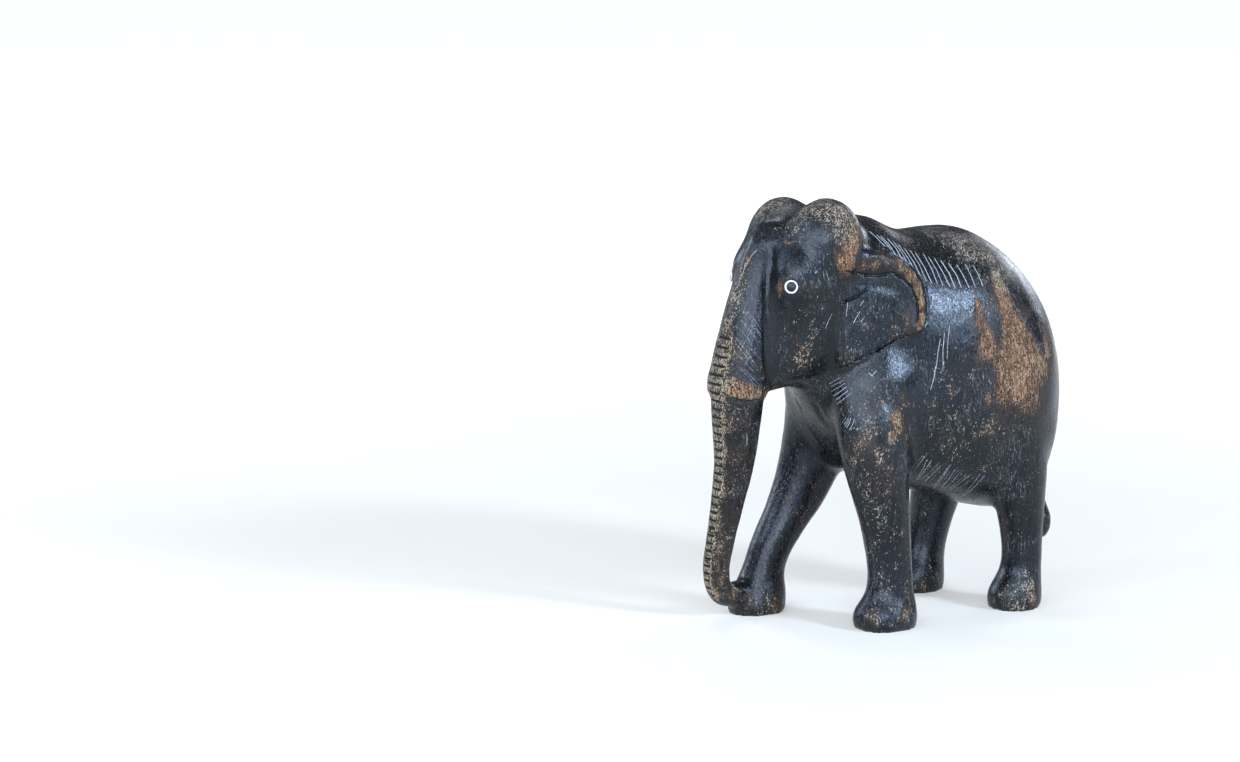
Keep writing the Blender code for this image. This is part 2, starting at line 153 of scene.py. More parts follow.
carving = {
    "skinMesh": 1.40 * mm,       # size of the even mesh that the solid is turned into
    "skinSmooth": 7,             # rounds of smoothing on the broad forms
    "edgeSmooth": 2,             # and on ears, collar, feet and tail, which stay crisper
    "unevenness": 0.30 * mm,     # how far the knife's flats stand off a true curve
    "unevenSize": 9 * mm,
    # places kept crisp: lowest and highest |x|, y and z in mm, and how crisp (0 to 1); a later one wins
    "crispPlaces": {
        "ears": ((13, 99), (-44, 2), (88, 140), 0.8),
        "collar": ((-1, 99), (-99, -50), (82, 98), 0.7),
        "soles": ((-1, 99), (-99, 99), (-1, 6), 0.7),
        "tail": ((-1, 9), (55, 99), (-1, 130), 0.6),
    },
    "crispFade": 4,              # rounds in which the crisp places fade into the rest
    "stepIn": 0.50,              # each round of smoothing draws in, and pushes nearly as far back out,
    "stepOut": 0.47,             # so that the form doesn't shrink
    "bulgeReach": 8,             # rounds of averaging that bulges and dips are measured against
    "bulgeFull": 0.30 * mm,      # a bulge this high counts as 1
    "bulgeFade": 2,
    "flatSole": 0.35 * mm,       # what stands lower than this is pressed flat on the floor
    "lineFade": 0.12,            # share of a line's length over which it runs out at each end
    "valleyWidth": 2.0,          # mm; wider cuts have soft shoulders
    # the skin is split finer round the cuts: how far out in mm, splits, and the widest cut that asks for it
    "splits": [(0.60, 1, 2.0), (0.30, 1, 2.0), (0.08, 1, 0.6)],
}

eyes = {
    "middle": (18.4, -54.3, 126.1),   # mm, middle of the left ring
    "look": (0.80, -0.58, 0.12),      # the way the left eye faces
    "outer": 2.4,                     # mm radius
    "wall": 0.7,
    "length": 2.0,
    "proud": 0.3,
    "pupilRise": 0.25,                # how far the wood inside the ring is domed
    "grooveDepth": 0.9,
    "grooveSpare": 0.02,              # how far the groove reaches past the ring's walls
    "pupilSunk": 0.25,                # and how far its edge lies below the ring's seat
    "splitReach": 3.2,                # mm round the eye where the skin is split finer
    "ownDepth": 3.0,                  # mm before and behind the ring that are the eye's own
    "plugWider": 0.6,                 # the plug in the solid's groove: past the ring,
    "plugLower": 0.15,                # under the skin,
    "plugLength": 4.0,                # and its length
    "rimBevel": 0.22,
}

trunk = {
    # height of the middle line, its x and the half width, all in mm
    "line": [(112, 0, 9.5), (100, -0.1, 11.0), (91, -0.3, 11.2), (85, -1.2, 9.6), (75, -4, 8.8),
             (60, -8, 7.4), (45, -12, 6.2), (32, -15, 5.4), (20, -17, 5.1), (9, -18.3, 4.8)],
    "notches": 33,
    "notchTop": 107.0,           # mm
    "notchBottom": 9.5,
    "notchCrowding": 0.08,       # the notches draw together a little towards the tip
    "notchReach": 0.42,          # share of the half width, to each side of the front
    "notchWidth": 1.20,
    "notchDepth": 0.85,
    # rubbed strips down the front: where they start and end to fade, as shares of the half width,
    # and how far they are rubbed and dusted
    "notchedStrip": (0.40, 0.75, 0.70, 1.25),
    "besideStrip": (0.7, 1.1, 0.46, 0.4),
    "stripFade": ((4, 10), (106, 111)),      # heights in mm where the strips run out, at tip and root
    "frontHeights": (5, 12, 20, 90, 112),    # at these heights in mm the strips keep
    "frontBefore": (-52, -54, -54, -52, -60),    # in front of these y
}

# Lines and soft valleys cut by the knife, through photo pixels:
# width and depth in mm, and how dark the painted shade laid along them is
deepLines = {
    "earFold": ([(839, 304), (850, 300), (860, 295), (870, 286)], 1.2, 1.0, 1.0),
    "rimInside": ([(842, 270), (850, 272), (864, 275), (878, 276), (892, 273), (903, 279), (912, 289),
                   (917, 303), (918, 318), (916, 328)], 1.3, 0.8, 1.0),
    "rimOutside": ([(886, 252), (900, 257), (915, 269), (925, 284), (928, 303), (927, 320), (922, 333)],
                   1.5, 0.3, 0.8),
    "panelTop": ([(848, 281), (865, 284), (885, 285), (901, 291)], 7.0, 0.35, 0),
    "panelLow": ([(850, 352), (868, 343), (887, 333), (905, 324)], 8.0, 0.8, 0),
    "earFront": ([(841, 303), (842, 320), (843, 340), (843, 355), (842, 367)], 1.4, 0.45, 0.7),
    "earUnder": ([(839, 369), (850, 365), (862, 359), (875, 351), (887, 344), (899, 338), (912, 335)],
                 1.5, 1.2, 1.0),
    "collarUnder": ([(729, 398), (738, 400), (750, 401), (762, 399)], 1.1, 0.7, 1.0),
    "rootValley": ([(771, 236), (769, 262), (767, 290), (766, 320), (766, 350), (767, 375), (768, 388)],
                   5.0, 0.9, 0.6),
    "underBrow": ([(781, 298), (795, 301), (812, 302), (833, 302)], 2.4, 0.5, 0.6),
    "browFront": ([(771, 246), (774, 268), (776, 282)], 3.0, 0.5, 0.6),
    "jawLine": ([(768, 391), (776, 385), (786, 379), (800, 376), (818, 375), (836, 370)], 2.2, 0.5, 0.6),
    "chestKeel": ([(812, 398), (822, 418), (834, 432), (839, 450), (842, 466)], 3.2, 0.5, 0.7),
}

# Hairlines scratched through the black: rows of strokes whose tops and ends follow two lines of photo
# pixels; then how many, width and depth in mm, how pale, and how much they wander in pixels
hairRows = {
    "shoulder": ([(869, 231), (887, 238), (905, 247), (925, 253), (945, 260), (973, 264)],
                 [(886, 248), (904, 260), (925, 283), (942, 288), (962, 290), (983, 288)],
                 17, 0.40, 0.20, 1, 0.9),
    "belly": ([(921, 455), (984, 476)], [(906, 478), (962, 499)], 15, 0.34, 0.14, 0.62, 3.0),
    "bellyBack": ([(932, 462), (960, 470)], [(921, 484), (936, 491)], 6, 0.32, 0.10, 0.45, 3.0),
    "chest": ([(828, 384), (836, 404)], [(843, 375), (851, 392)], 6, 0.36, 0.15, 0.75, 1.5),
    "forelegTop": ([(841, 424), (848, 431)], [(846, 417), (854, 418)], 5, 0.32, 0.12, 0.7, 1.0),
    "trunkSide": ([(737, 296), (736, 366)], [(762, 330), (756, 386)], 13, 0.28, 0.06, 0.44, 4.0),
    "trunkSideCross": ([(750, 308), (764, 345)], [(738, 340), (746, 372)], 6, 0.28, 0.05, 0.40, 3.5),
    "brow": ([(800, 236), (802, 250)], [(814, 252), (812, 262)], 4, 0.28, 0.06, 0.36, 1.0),
}

# Single scratches: photo pixels from end to end
hairStrokes = {
    "flank": [(941, 336), (938, 352), (936, 372)],
    "flankLow": [(936, 364), (934, 378), (930, 392)],
    "flankThird": [(945, 328), (943, 350), (943, 374)],
    "flankFourth": [(950, 322), (948, 340), (947, 362)],
    "rootRidge": [(759, 248), (752, 255), (746, 265), (740, 279), (735, 294)],
    "earSlant": [(861, 310), (856, 318), (853, 324)],
    "earSmall": [(864, 300), (860, 306)],
    "shoulderV": [(868, 372), (872, 376), (877, 370)],
    "cheek": [(833, 312), (828, 322), (825, 330)],
    "trunkLow": [(747, 434), (747, 446)],
    "neckLong": [(848, 300), (846, 318)],
}

# How unevenly the hand cuts them
knifeHand = {
    "seed": 4,
    "bow": (0.5, 1.5),                # how far a stroke bows out at its middle, in pixels
    "size": (0.7, 1.1),               # strokes are this share of their row's width and depth
    "singleStroke": (0.32, 0.08, 0.7),    # width and depth in mm, and how pale
}


def alongPixels(pixels, share):
    # the pixel at a share, from 0 to 1, of a line given by two or more pixels
    steps = np.linspace(0, 1, len(pixels))
    xs, ys = zip(*pixels)
    return float(np.interp(share, steps, xs)), float(np.interp(share, steps, ys))


def skinLine(pixels):
    # the line laid on the carving, finely enough to follow it
    shares = np.linspace(0, 1, 6 * (len(pixels) - 1) + 1)
    return np.array([onSkin(*alongPixels(pixels, share)) for share in shares])


def cutLines():
    # every carved or scratched line as points on the skin, with its width, depth, strength of colour (painted
    # shade for cut lines, paleness for hairlines) and kind
    chance = random.Random(knifeHand["seed"])
    lines = []
    for pixels, width, depth, paintedCreaseShade in deepLines.values():
        path = skinLine(pixels)
        lines.append((path, width, depth, paintedCreaseShade, "deep"))
        lines.append((np.array([otherSide(p) for p in path]), width, depth, paintedCreaseShade, "deep"))
    for name, (tops, ends, count, width, depth, pale, wander) in hairRows.items():
        for k in range(count):
            share = k / (count - 1)
            shift = lambda: chance.uniform(-wander, wander)
            startX, startY = alongPixels(tops, share)
            endX, endY = alongPixels(ends, share)
            start, end = (startX + shift(), startY + shift()), (endX + shift(), endY + shift())
            bow = chance.uniform(*knifeHand["bow"])
            middle = ((start[0] + end[0]) / 2 + bow, (start[1] + end[1]) / 2 - bow * 0.5)
            path = skinLine([start, middle, end])
            size = chance.uniform(*knifeHand["size"])
            lines.append((path, width * size, depth * size, pale, "hair"))
            if name == "shoulder":
                mirrored = np.array([otherSide(p) for p in path])
                lines.append((mirrored, width * size, depth * size, pale, "hair"))
    for pixels in hairStrokes.values():
        lines.append((skinLine(pixels), *knifeHand["singleStroke"], "hair"))
    return lines


def trunkAt(z):
    heights, middles, halves = np.array(trunk["line"], float)[::-1].T
    return np.interp(z, heights, middles), np.interp(z, heights, halves)


def notchLines():
    lines = []
    for k in range(trunk["notches"]):
        share = k / (trunk["notches"] - 1)
        share += trunk["notchCrowding"] * share * (1 - share)
        z = trunk["notchTop"] + (trunk["notchBottom"] - trunk["notchTop"]) * share
        middle, half = trunkAt(z)
        path = []
        for s in np.linspace(-1, 1, 9):
            start = Vector(((middle + s * half * trunk["notchReach"]) * mm, -0.2, z * mm))
            hit = skin.ray_cast(start, Vector((0, 1, 0)))[0]
            if hit is not None:
                path.append(hit)
        # each notch is given full painted shade, darkening the cut
        lines.append((np.array(path), trunk["notchWidth"], trunk["notchDepth"], 1, "notch"))
    return lines


def lineDistance(points, path):
    # distance of each point to a path, and how far along the path it lies, from 0 to 1
    best = np.full(len(points), 1.0)
    along = np.zeros(len(points))
    last = len(path) - 1
    for k in range(last):
        a, step = path[k], path[k + 1] - path[k]
        share = np.clip(((points - a) @ step) / max(step @ step, 1e-12), 0, 1)
        gap = np.linalg.norm(points - (a + share[:, None] * step), axis=1)
        nearer = gap < best
        best[nearer] = gap[nearer]
        along[nearer] = (k + share[nearer]) / last
    return best, along


def nearPath(points, path, reach):
    low, high = path.min(0) - reach, path.max(0) + reach
    return np.nonzero(np.all((points > low) & (points < high), axis=1))[0]


def splitFaces(piece, chosen, cuts):
    onlyPick(piece)
    piece.data.vertices.foreach_set("select", np.zeros(len(piece.data.vertices), bool))
    piece.data.edges.foreach_set("select", np.zeros(len(piece.data.edges), bool))
    piece.data.polygons.foreach_set("select", chosen)
    bpy.context.tool_settings.mesh_select_mode = (False, False, True)
    bpy.ops.object.mode_set(mode="EDIT")
    bpy.ops.mesh.subdivide(number_cuts=cuts, smoothness=0)
    bpy.ops.object.mode_set(mode="OBJECT")


def eyeSides():
    # the middle and the facing of both eyes
    middle, look = np.array(eyes["middle"]) * mm, np.array(eyes["look"])
    look = look / np.linalg.norm(look)
    flip = np.array((-1, 1, 1))
    return [("left", middle, look), ("right", middle * flip, look * flip)]


def copySolid():
    # the solid's mesh is loose triangles, so the copy is merged before anything else
    piece = bpy.data.objects.new("carved_elephant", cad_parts["elephant"].data.copy())
    bpy.context.scene.collection.objects.link(piece)
    piece.data.materials.clear()
    onlyPick(piece)
    bpy.ops.object.mode_set(mode="EDIT")
    bpy.ops.mesh.select_all(action="SELECT")
    bpy.ops.mesh.remove_doubles(threshold=0.01 * mm)
    bpy.ops.mesh.normals_make_consistent(inside=False)
    bpy.ops.object.mode_set(mode="OBJECT")
    return piece


def plugEyes(piece):
    # the solid's ring grooves are filled first, and cut again in the finer skin
    for side, middle, look in eyeSides():
        plugMiddle = eyes["length"] / 2 - eyes["proud"] - eyes["plugLower"] - eyes["plugLength"] / 2
        bpy.ops.object.select_all(action="DESELECT")
        bpy.ops.mesh.primitive_cylinder_add(
            vertices=48, radius=(eyes["outer"] + eyes["plugWider"]) * mm, depth=eyes["plugLength"] * mm,
            location=middle + look * plugMiddle * mm,
            rotation=Vector(look).to_track_quat("Z", "Y").to_euler())
        plug = bpy.context.object
        applyModifier(piece, "BOOLEAN", operation="UNION", solver="EXACT", object=plug)
        bpy.data.objects.remove(plug)


def softenSkin(piece):
    # an even mesh, smoothed most on the broad forms
    applyModifier(piece, "REMESH", mode="VOXEL", voxel_size=carving["skinMesh"], adaptivity=0)
    points = readPoints(piece)
    sized = points / mm
    sized[:, 0] = abs(sized[:, 0])
    crisp = np.zeros((len(points), 1))
    for *ranges, amount in carving["crispPlaces"].values():
        lows, highs = np.array(ranges).T
        crisp[np.all((sized > lows) & (sized < highs), axis=1)] = amount
    crisp = soften(piece, crisp, carving["crispFade"])
    for rounds, weight in ((carving["edgeSmooth"], np.ones_like(crisp)),
                           (carving["skinSmooth"], 1 - crisp)):
        for k in range(rounds):
            points += carving["stepIn"] * weight * (neighbourMean(piece, points) - points)
            points -= carving["stepOut"] * weight * (neighbourMean(piece, points) - points)
    writePoints(piece, points)


def skinCurve(piece):
    # how much the skin bulges (above 0) or dips (below 0), over a few millimetres; the material paints shade
    # into the dips
    points = readPoints(piece)
    wide = soften(piece, points, carving["bulgeReach"])
    bulge = ((points - wide) * readNormals(piece)).sum(1, keepdims=True) / carving["bulgeFull"]
    storeField(piece, "bulge", soften(piece, bulge, carving["bulgeFade"])[:, 0])


def roughenForm(piece):
    # a knife's slightly uneven flats
    texture = bpy.data.textures.new("knife_flats", "CLOUDS")
    texture.noise_scale = carving["unevenSize"]
    texture.noise_depth = 1
    applyModifier(piece, "DISPLACE", texture=texture, strength=carving["unevenness"], mid_level=0.5,
                  texture_coords="LOCAL")


def smoothStep(values, low, high):
    t = np.clip((values - low) / (high - low), 0, 1)
    return t * t * (3 - 2 * t)


def cutSkin(piece, lines):
    # the skin is refined along each line and round the eyes, and then pressed in there
    for spare, cuts, widest in carving["splits"]:
        centres = faceCentres(piece)
        chosen = np.zeros(len(centres), bool)
        for path, width, depth, strength, kind in lines:
            if width > widest:
                continue
            reach = (width / 2 + spare) * mm
            near = nearPath(centres, path, reach)
            chosen[near[lineDistance(centres[near], path)[0] < reach]] = True
        for side, middle, look in eyeSides():
            chosen[np.linalg.norm(centres - middle, axis=1) < (eyes["splitReach"] + spare) * mm] = True
        splitFaces(piece, chosen, cuts)

    points, normals = readPoints(piece), readNormals(piece)
    press = np.zeros(len(points))
    dark, hair = np.zeros(len(points)), np.zeros(len(points))
    for path, width, depth, strength, kind in lines:
        near = nearPath(points, path, width * mm)
        gap, along = lineDistance(points[near], path)
        ends = smoothStep(np.minimum(along, 1 - along), 0, carving["lineFade"])
        shape = np.clip(1 - gap / (width / 2 * mm), 0, 1) * ends
        if width > carving["valleyWidth"]:
            shape = smoothStep(shape, 0, 1)
        press[near] = np.maximum(press[near], depth * mm * shape)
        # cut lines and notches are darkened with painted shade; hairlines turn pale
        field = hair if kind == "hair" else dark
        field[near] = np.maximum(field[near], shape * strength)
    points -= press[:, None] * normals

    inlay = np.zeros(len(points))
    for side, middle, look in eyeSides():
        offset = points - middle
        height = offset @ look
        radius = np.linalg.norm(offset - height[:, None] * look, axis=1) / mm
        near = abs(height) < eyes["ownDepth"] * mm
        inner = eyes["outer"] - eyes["wall"]
        core = near & (radius <= inner - eyes["grooveSpare"])
        groove = near & ~core & (radius < eyes["outer"] + eyes["grooveSpare"])
        level = (eyes["length"] / 2 - eyes["proud"]) * mm
        dome = level + (eyes["pupilRise"] * (1 - (radius / inner) ** 2) - eyes["pupilSunk"]) * mm
        points[core] += ((dome - height)[core])[:, None] * look
        points[groove] -= eyes["grooveDepth"] * mm * look
        inlay[core] = 1
    writePoints(piece, points)
    # painted shade along the cut lines and notches
    storeField(piece, "paintedCutShade", dark)
    storeField(piece, "hairline", hair)
    storeField(piece, "pupil", inlay)


# Where the black is rubbed through to bare wood: photo pixel, reach in mm and how far it is rubbed (0 to 1)
rubbed = {
    "hip": [(995, 277, 3, .62), (1001, 290, 4, .66), (1007, 303, 5, .68), (1012, 326, 6, .74),
            (1020, 350, 9, .95), (1010, 380, 9, .80), (1038, 372, 8, .70), (1034, 404, 8, .60),
            (988, 400, 3.4, .60), (980, 320, 3.4, .84), (984, 350, 5, .64), (1048, 345, 5, .62),
            (996, 350, 5, .66), (1002, 415, 5, .42), (978, 306, 2.4, .74), (987, 334, 3.4, .80),
            (986, 290, 6, .34), (1000, 312, 4, .5)],
    "rump": [(985, 250, 8, .50), (1004, 274, 5, .42), (1022, 310, 4, .40), (962, 241, 7, .55),
             (935, 232, 6, .36)],
    "nearDome": [(856, 238, 4, .78), (852, 218, 4, .58), (843, 221, 5, .50), (850, 243, 4.5, .72),
                 (848, 262, 4.0, .80), (826, 208, 6, .48), (802, 216, 4, .46)],
    "farDome": [(775, 205, 6, .46), (760, 214, 4, .38)],
    "earRim": [(841, 262, 2.6, .8), (850, 266, 2.8, .85), (862, 267, 2.8, .8), (875, 267, 2.6, .7),
               (888, 264, 2.4, .5), (900, 265, 2.4, .7), (911, 274, 2.4, .85), (919, 288, 2.2, .95),
               (922, 303, 2.0, .9), (922, 319, 2.0, .9), (919, 329, 1.8, .6)],
    "earCorner": [(910, 324, 2.2, .50)],
    "eyeSide": [(779, 288, 2.6, .66)],
    "browFront": [(787, 243, 1.8, .45)],
    "cheek": [(801, 354, 4, .42), (795, 340, 3, .34)],
    "trunkRoot": [(747, 260, 2.4, .6), (741, 274, 2.6, .6), (733, 290, 3.0, .62), (727, 305, 3.2, .62),
                  (724, 325, 3.6, .62), (719, 345, 3.2, .5)],
    "trunkSide": [(745, 420, 4, .40), (742, 450, 5, .42), (738, 480, 5, .42), (733, 515, 5, .42),
                  (730, 550, 5, .42)],
    "collar": [(732, 386, 3.0, 1), (741, 390, 2.8, 1), (750, 392, 2.4, 1), (759, 394, 1.9, .95),
               (765, 395, 1.6, .8), (753, 405, 2.4, .45)],
    "foreleg": [(900, 428, 2.2, .95), (902, 396, 3, .55), (897, 418, 2.8, 1.05), (892, 437, 2.8, .86),
                (868, 440, 4, .42), (862, 455, 5, .36), (878, 466, 6, .36), (882, 492, 5, .34),
                (876, 405, 3, .40)],
    "feet": [(907, 596, 3.0, .55), (905, 615, 2.6, .6), (872, 622, 3.0, .45), (1034, 584, 3.0, .5),
             (1012, 604, 3, .45), (1034, 600, 2.4, .6), (750, 600, 3.0, .55), (734, 594, 3.0, .6),
             (722, 582, 3, .55), (775, 607, 4, .45), (925, 588, 3, .4)],
    "flank": [(990, 430, 5, .44), (1012, 432, 4, .42), (968, 415, 2.2, .62), (952, 392, 1.8, .55),
              (979, 433, 1.6, .62), (996, 452, 1.6, .6), (950, 444, 4, .34), (934, 412, 4, .34)],
}
mirroredRubs = ("hip", "rump", "nearDome", "earRim", "earCorner", "eyeSide", "cheek", "collar")
mirroredDust = ("cheek", "domes", "rump")
blobShape = {
    "upright": 0.72,      # heights count this much, so each blob is drawn out along the upright grain
    "falloff": 0.8,
    "mirrored": 0.85,     # strength of a blob on the carving's right side
    "overlap": 0.25,      # what the weaker of two blobs adds where they meet
}

# Pale dust and pin-point chips: the same way
speckled = {
    "foreleg": [(868, 470, 10, .48), (888, 430, 9, .42), (872, 510, 8, .52), (884, 545, 7, .46),
                (862, 425, 7, .45), (885, 395, 6, .4)],
    "flank": [(950, 400, 12, .36), (970, 430, 12, .36), (940, 440, 10, .36), (1000, 440, 10, .36),
              (990, 425, 5, .36)],
    "cheek": [(799, 356, 5, .60), (805, 330, 6, .25), (815, 345, 5, .25)],
    "domes": [(826, 208, 7, 1), (842, 222, 6, .9), (805, 214, 6, 1), (790, 225, 5, .7),
              (775, 204, 7, .9)],
    "rump": [(985, 252, 8, 1), (960, 244, 8, 1), (1000, 270, 7, .8), (935, 232, 7, .8),
             (965, 262, 6, .6)],
    "trunk": [(741, 268, 3, .9), (735, 290, 5, 1), (729, 312, 5, 1), (724, 340, 6, 1), (745, 300, 5, .4),
              (735, 480, 6, .5), (730, 540, 6, .5), (748, 430, 5, .4)],
    "feet": [(875, 616, 7, .5), (905, 606, 6, .5), (1012, 594, 6, .8), (1022, 600, 5, 1),
             (1026, 580, 4, .8), (760, 604, 5, .7), (925, 580, 5, .5), (885, 590, 5, .5)],
    "ear": [(870, 320, 6, .4), (858, 350, 5, .4)],
    "chest": [(830, 380, 5, .5), (845, 430, 4, .5)],
}


def placeField(points, places, mirrored):
    # soft blobs round the named places
    total = np.zeros(len(points))
    stretch = np.array((1, 1, blobShape["upright"]))
    for name, blobs in places.items():
        for px, py, reach, strength in blobs:
            spots = [(onSkin(px, py), strength)]
            if name in mirrored:
                spots.append((otherSide(spots[0][0]), strength * blobShape["mirrored"]))
            for spot, amount in spots:
                gap = np.linalg.norm((points - np.array(spot)) * stretch, axis=1) / (reach * mm)
                blob = amount * np.exp(-blobShape["falloff"] * gap ** 3)
                total = np.maximum(total, blob) + blobShape["overlap"] * np.minimum(total, blob)
    return np.clip(total, 0, 1)


def trunkFront(points, inner, outer):
    # a strip down the trunk's front: whole within inner, gone at outer, as shares of the half width
    x, y, z = points.T / mm
    middle, half = trunkAt(z)
    tip, root = trunk["stripFade"]
    onTrunk = (y < np.interp(z, trunk["frontHeights"], trunk["frontBefore"])) & (z < root[1]) & (z > tip[0])
    strip = 1 - smoothStep(abs(x - middle) / half, inner, outer)
    return np.where(onTrunk, strip * smoothStep(z, *tip) * (1 - smoothStep(z, *root)), 0)


def markWear(piece):
    points = readPoints(piece)
    wear = [placeField(points, rubbed, mirroredRubs)]
    dust = [placeField(points, speckled, mirroredDust)]
    for inner, outer, rub, speckle in (trunk["notchedStrip"], trunk["besideStrip"]):
        strip = trunkFront(points, inner, outer)
        wear.append(rub * strip)
        dust.append(speckle * strip)
    storeField(piece, "rubbed", np.maximum.reduce(wear))
    storeField(piece, "speckled", np.maximum.reduce(dust))


def makeCarving():
    global skin
    piece = copySolid()
    plugEyes(piece)
    print("carving: solid copied and merged,", len(piece.data.polygons), "faces")
    softenSkin(piece)
    roughenForm(piece)
    skinCurve(piece)
    print("carving: smooth skin,", len(piece.data.polygons), "faces")
    # photo pixels and notches are laid on this smooth form, before it is cut
    skin = BVHTree.FromObject(piece, bpy.context.evaluated_depsgraph_get())
    cutSkin(piece, cutLines() + notchLines())
    markWear(piece)
    points = readPoints(piece)
    points[points[:, 2] < carving["flatSole"], 2] = 0
    writePoints(piece, points)
    onlyPick(piece)
    bpy.ops.object.shade_smooth()
    print("carving: cut and marked,", sum(len(p.vertices) - 2 for p in piece.data.polygons), "triangles")
    return piece


# The eye rings: thin tubes with worn, rounded rims

def makeEyeRing(side, middle, look):
    bpy.ops.object.select_all(action="DESELECT")
    bpy.ops.mesh.primitive_cylinder_add(vertices=72, radius=eyes["outer"] * mm, depth=eyes["length"] * mm)
    ring = bpy.context.object
    ring.name = "inlaid_eye_ring_" + side
    bpy.context.tool_settings.mesh_select_mode = (False, False, True)
    bpy.ops.object.mode_set(mode="EDIT")
    bpy.ops.mesh.select_all(action="DESELECT")
    bpy.ops.object.mode_set(mode="OBJECT")
    for face in ring.data.polygons:
        face.select = abs(face.normal.z) > 0.9
    bpy.ops.object.mode_set(mode="EDIT")
    bpy.ops.mesh.inset(thickness=eyes["wall"] * mm, use_individual=True)
    bpy.ops.mesh.bridge_edge_loops()
    bpy.ops.mesh.select_all(action="SELECT")
    bpy.ops.mesh.normals_make_consistent(inside=False)
    bpy.ops.object.mode_set(mode="OBJECT")
    applyModifier(ring, "BEVEL", width=eyes["rimBevel"] * mm, segments=3, limit_method="ANGLE",
                  angle_limit=math.radians(40))
    ring.location = middle
    ring.rotation_euler = Vector(look).to_track_quat("Z", "Y").to_euler()
    onlyPick(ring)
    bpy.ops.object.transform_apply(location=True, rotation=True, scale=True)
    bpy.ops.object.shade_smooth_by_angle(angle=math.radians(35))
    return ring


# Materials

def colour(hexText):
    # an sRGB hex colour as the linear values that Blender's sockets take
    parts = [int(hexText[k:k + 2], 16) / 255 for k in (1, 3, 5)]
    return tuple(p / 12.92 if p <= 0.04045 else ((p + 0.055) / 1.055) ** 2.4 for p in parts) + (1,)


def addNode(tree, kind, sockets=None, give=0, **settings):
    # one node with its settings; a socket takes a number, a hex colour or another node's output
    node = tree.nodes.new("ShaderNode" + kind)
    for name, value in settings.items():
        setattr(node, name, value)
    for key, value in (sockets or {}).items():
        if isinstance(value, bpy.types.NodeSocket):
            tree.links.new(value, node.inputs[key])
        else:
            node.inputs[key].default_value = colour(value) if isinstance(value, str) else value
    return None if give is None else node.outputs[give]


def newMaterial(name):
    material = bpy.data.materials.new(name)
    material.use_nodes = True
    material.node_tree.nodes.clear()
    return material, material.node_tree


